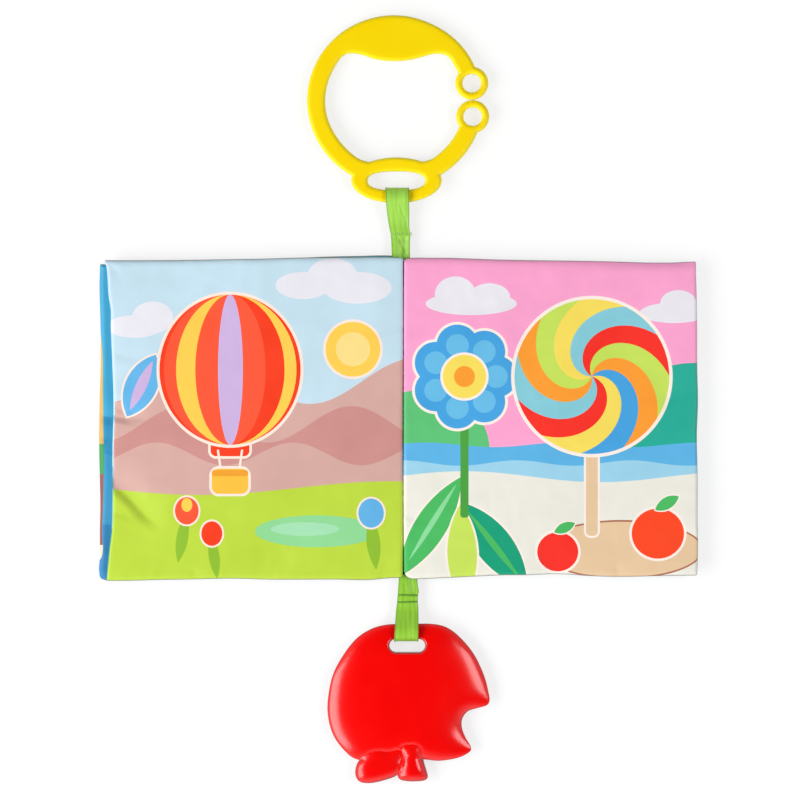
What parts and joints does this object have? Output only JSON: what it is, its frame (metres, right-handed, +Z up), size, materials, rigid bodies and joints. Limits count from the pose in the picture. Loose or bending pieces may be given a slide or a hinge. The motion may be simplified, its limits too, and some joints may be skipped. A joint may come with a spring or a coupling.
{
  "type": "crinkle cloth book",
  "caption": "Soft cloth baby book lying open, with padded crinkle leaves that turn, a flat clip ring on a tape and a soft apple-shaped teether on a tape.",
  "frame": {"origin": "middle of the spine, on the underside of its outer cloth, at the level of the table", "axes": "+X to the right-hand page, +Y along the spine towards the clip ring, +Z up out of the open pages"},
  "size_m": [0.263, 0.3379, 0.0092],
  "materials": {
    "left_page_print": "smooth printed polyester, soft sheen",
    "right_page_print": "smooth printed polyester, soft sheen",
    "lining_print": "smooth printed polyester, soft sheen",
    "cover_print": "smooth printed polyester, soft sheen",
    "wadding": "loose white polyester fibre",
    "crinkle_film": "thin creased clear film",
    "green_tape": "satin woven tape",
    "green_thread": "sewing thread",
    "white_thread": "sewing thread",
    "yellow_plastic": "moulded, satin",
    "red_plastic": "soft moulded, glossy"
  },
  "bodies": {
    "spine": {"spine_outer_cloth": "cover_print", "spine_sewn_seam": "lining_print", "spine_stitching": "white_thread", "upper_tape_tail": "green_tape", "lower_tape_tail": "green_tape"},
    "left_cover": {"left_cover_lower_cloth": "cover_print", "left_cover_upper_cloth": "lining_print", "left_cover_wadding": "wadding", "left_cover_crinkle_film": "crinkle_film"},
    "left_page": {"left_page_lower_cloth": "lining_print", "left_page_upper_cloth": "left_page_print", "left_page_wadding": "wadding", "left_page_crinkle_film": "crinkle_film"},
    "right_cover": {"right_cover_lower_cloth": "cover_print", "right_cover_upper_cloth": "lining_print", "right_cover_wadding": "wadding", "right_cover_crinkle_film": "crinkle_film"},
    "right_page": {"right_page_lower_cloth": "lining_print", "right_page_upper_cloth": "right_page_print", "right_page_wadding": "wadding", "right_page_crinkle_film": "crinkle_film"},
    "upper_tape": {"upper_tape_loop": "green_tape", "upper_tape_cross_stitch": "green_thread"},
    "clip_ring": {"clip_ring": "yellow_plastic"},
    "lower_tape": {"lower_tape_loop": "green_tape", "lower_tape_bar_tack_1": "green_thread", "lower_tape_bar_tack_2": "green_thread"},
    "teether": {"apple_teether": "red_plastic"}
  },
  "joints": [
    {"name": "left_cover_turn", "type": "hinge", "parent": "spine", "child": "left_cover", "pos_m": [0, 0, 0.0077], "axis": [0, -1, 0], "range_deg": [-178, 0]},
    {"name": "left_page_turn", "type": "hinge", "parent": "left_cover", "child": "left_page", "pos_m": [0, 0, 0.0077], "axis": [0, 1, 0], "range_deg": [0, 178]},
    {"name": "right_cover_turn", "type": "hinge", "parent": "spine", "child": "right_cover", "pos_m": [0, 0, 0.0077], "axis": [0, 1, 0], "range_deg": [-178, 0]},
    {"name": "right_page_turn", "type": "hinge", "parent": "right_cover", "child": "right_page", "pos_m": [0, 0, 0.0077], "axis": [0, -1, 0], "range_deg": [0, 178]},
    {"name": "upper_tape_fold", "type": "hinge", "parent": "spine", "child": "upper_tape", "pos_m": [-0.0018, 0.0802, 0.00375], "axis": [1, 0, 0], "range_deg": [-100, 100]},
    {"name": "ring_swing", "type": "hinge", "parent": "upper_tape", "child": "clip_ring", "pos_m": [-0.0029, 0.0969, 0.0044], "axis": [-1, 0, 0], "range_deg": [-120, 120]},
    {"name": "lower_tape_fold", "type": "hinge", "parent": "spine", "child": "lower_tape", "pos_m": [0.0019, -0.0759, 0.00375], "axis": [1, 0, 0], "range_deg": [-100, 100]},
    {"name": "teether_swing", "type": "hinge", "parent": "lower_tape", "child": "teether", "pos_m": [0.0019, -0.0942, 0.00445], "axis": [-1, 0, 0], "range_deg": [-110, 110]}
  ]
}
